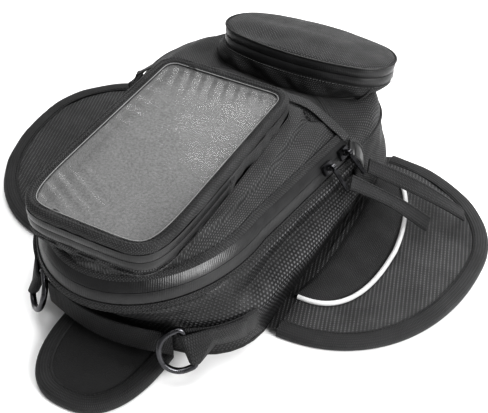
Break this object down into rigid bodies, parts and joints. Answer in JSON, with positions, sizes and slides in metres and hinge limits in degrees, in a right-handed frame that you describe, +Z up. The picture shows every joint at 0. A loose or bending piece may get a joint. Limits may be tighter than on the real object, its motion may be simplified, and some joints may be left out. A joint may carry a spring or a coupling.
{
  "type": "motorcycle tank bag",
  "caption": "Soft motorcycle tank bag with a zipped lid, a clear phone pocket, a round-ended zipped pouch on its tail, magnetic side flaps and tongue, and D-rings at its nose.",
  "frame": {"origin": "middle of the bag's base, on the surface it lies on", "axes": "+Y towards the tail and its pouch, +X to the bag's right-hand side, +Z up"},
  "size_m": [0.434, 0.364, 0.1362],
  "materials": {
    "anti_slip_mat": "dimpled, matte",
    "stiff_board": "satin",
    "coated_fabric": "dimpled PVC-coated fabric, satin",
    "oxford_fabric": "twill-woven nylon, matte",
    "twill_fabric": "fine plain weave, matte",
    "napped_fabric": "brushed, matte",
    "binding_tape": "ribbed tape",
    "webbing": "ribbed webbing",
    "foam": "soft foam",
    "grey_lining": "brushed lining",
    "coated_zipper": "reverse-coil tape with a coated face, semi-gloss",
    "clear_film": "clear soft vinyl film",
    "reflective_piping": "light grey reflective piping",
    "magnet_plate": "plated",
    "dark_nickel": "dark nickel plate"
  },
  "bodies": {
    "root": {"base_mat": "anti_slip_mat", "base_board": "stiff_board", "side_wall": "coated_fabric", "tail_wall": "oxford_fabric", "foam_liner": "foam", "wall_binding": "binding_tape", "main_tape_lower": "coated_zipper", "pouch_wall": "oxford_fabric", "pouch_floor": "grey_lining", "pouch_tape_lower": "coated_zipper", "pouch_hinge_strip": "binding_tape", "tail_saddle": "oxford_fabric", "front_strap": "webbing", "right_ring_tab": "webbing", "left_ring_tab": "webbing"},
    "lid": {"main_tape_upper": "coated_zipper", "lid_panel": "oxford_fabric", "pocket_wall": "oxford_fabric", "pocket_pad": "grey_lining", "pocket_tape_lower": "coated_zipper", "window_frame_rear": "binding_tape", "window_film_rear": "clear_film"},
    "pocket_flap": {"pocket_tape_upper": "coated_zipper", "window_frame_front": "binding_tape", "window_film_front": "clear_film"},
    "pouch_lid_body": {"pouch_tape_upper": "coated_zipper", "pouch_lid": "oxford_fabric"},
    "right_wing": {"right_wing_lining": "napped_fabric", "right_wing_core": "foam", "right_wing_skin": "oxford_fabric", "right_wing_magnet_1": "magnet_plate", "right_wing_magnet_2": "magnet_plate", "right_wing_binding": "binding_tape", "right_wing_panel": "twill_fabric", "right_wing_piping": "reflective_piping"},
    "left_wing": {"left_wing_lining": "napped_fabric", "left_wing_core": "foam", "left_wing_skin": "oxford_fabric", "left_wing_magnet_1": "magnet_plate", "left_wing_magnet_2": "magnet_plate", "left_wing_binding": "binding_tape", "left_wing_panel": "twill_fabric", "left_wing_piping": "reflective_piping"},
    "tongue": {"tongue_lining": "oxford_fabric", "tongue_core": "foam", "tongue_magnet": "magnet_plate", "tongue_skin": "napped_fabric", "tongue_binding": "webbing"},
    "right_ring": {"right_d_ring": "dark_nickel"},
    "left_ring": {"left_d_ring": "dark_nickel"},
    "zip_slider_a": {"main_slider_a": "dark_nickel"},
    "zip_slider_b": {"main_slider_b": "dark_nickel"},
    "zip_pull_a": {"main_pull_a": "dark_nickel", "main_puller_tape_a": "webbing"},
    "zip_pull_b": {"main_pull_b": "dark_nickel", "main_puller_tape_b": "webbing"},
    "pocket_slider_body": {"pocket_slider": "dark_nickel"},
    "pocket_pull_body": {"pocket_pull": "dark_nickel"},
    "pouch_slider_body": {"pouch_slider": "dark_nickel"},
    "pouch_pull_body": {"pouch_pull": "dark_nickel"}
  },
  "joints": [
    {"name": "lid_hinge", "type": "hinge", "parent": "root", "child": "lid", "pos_m": [0, 0.0755, 0.117], "axis": [-1, 0, 0], "range_deg": [0, 80]},
    {"name": "pocket_hinge", "type": "hinge", "parent": "lid", "child": "pocket_flap", "pos_m": [0, -0.032, 0.1334], "axis": [-1, 0, 0], "range_deg": [0, 60]},
    {"name": "pouch_lid_hinge", "type": "hinge", "parent": "root", "child": "pouch_lid_body", "pos_m": [0.03, 0.17948, 0.1173], "axis": [-1, 0, 0], "range_deg": [0, 110]},
    {"name": "right_wing_hinge", "type": "hinge", "parent": "root", "child": "right_wing", "pos_m": [0.103, 0.085, 0.004], "axis": [0, -1, 0], "range_deg": [-75, 4]},
    {"name": "left_wing_hinge", "type": "hinge", "parent": "root", "child": "left_wing", "pos_m": [-0.103, 0.085, 0.004], "axis": [0, 1, 0], "range_deg": [-75, 34]},
    {"name": "tongue_hinge", "type": "hinge", "parent": "root", "child": "tongue", "pos_m": [0, -0.108, 0.004], "axis": [-1, 0, 0], "range_deg": [-60, 10]},
    {"name": "right_ring_hinge", "type": "hinge", "parent": "root", "child": "right_ring", "pos_m": [0.066, -0.115, 0.033], "axis": [-0.4168, 0.1042, 0.903], "range_deg": [-5, 70]},
    {"name": "left_ring_hinge", "type": "hinge", "parent": "root", "child": "left_ring", "pos_m": [-0.066, -0.115, 0.033], "axis": [-0.4168, -0.1042, -0.903], "range_deg": [-5, 70]},
    {"name": "main_slider_a_travel", "type": "slide", "parent": "root", "child": "zip_slider_a", "axis": [-0.14, -0.9902, 0], "range_m": [0, 0.08]},
    {"name": "main_pull_a_hinge", "type": "hinge", "parent": "zip_slider_a", "child": "zip_pull_a", "pos_m": [0.09904, 0.04491, 0.08958], "axis": [-0.14, -0.9902, 0], "range_deg": [0, 80]},
    {"name": "main_slider_b_travel", "type": "slide", "parent": "root", "child": "zip_slider_b", "axis": [-0.14, -0.9902, 0], "range_m": [0, 0.005]},
    {"name": "main_pull_b_hinge", "type": "hinge", "parent": "zip_slider_b", "child": "zip_pull_b", "pos_m": [0.10215, 0.06691, 0.08958], "axis": [-0.14, -0.9902, 0], "range_deg": [0, 80]},
    {"name": "pocket_slider_travel", "type": "slide", "parent": "lid", "child": "pocket_slider_body", "axis": [0, -1, 0], "range_m": [0, 0.05]},
    {"name": "pocket_pull_hinge", "type": "hinge", "parent": "pocket_slider_body", "child": "pocket_pull_body", "pos_m": [-0.0642, -0.04531, 0.1194], "axis": [0, 1, 0], "range_deg": [0, 80]},
    {"name": "pouch_slider_travel", "type": "hinge", "parent": "root", "child": "pouch_slider_body", "pos_m": [-0.0145, 0.14175, 0.11775], "axis": [0, 0.2079, 0.9781], "range_deg": [0, 95]},
    {"name": "pouch_pull_hinge", "type": "hinge", "parent": "pouch_slider_body", "child": "pouch_pull_body", "pos_m": [-0.04553, 0.16218, 0.11341], "axis": [0.5736, 0.8012, -0.1703], "range_deg": [0, 80]}
  ]
}
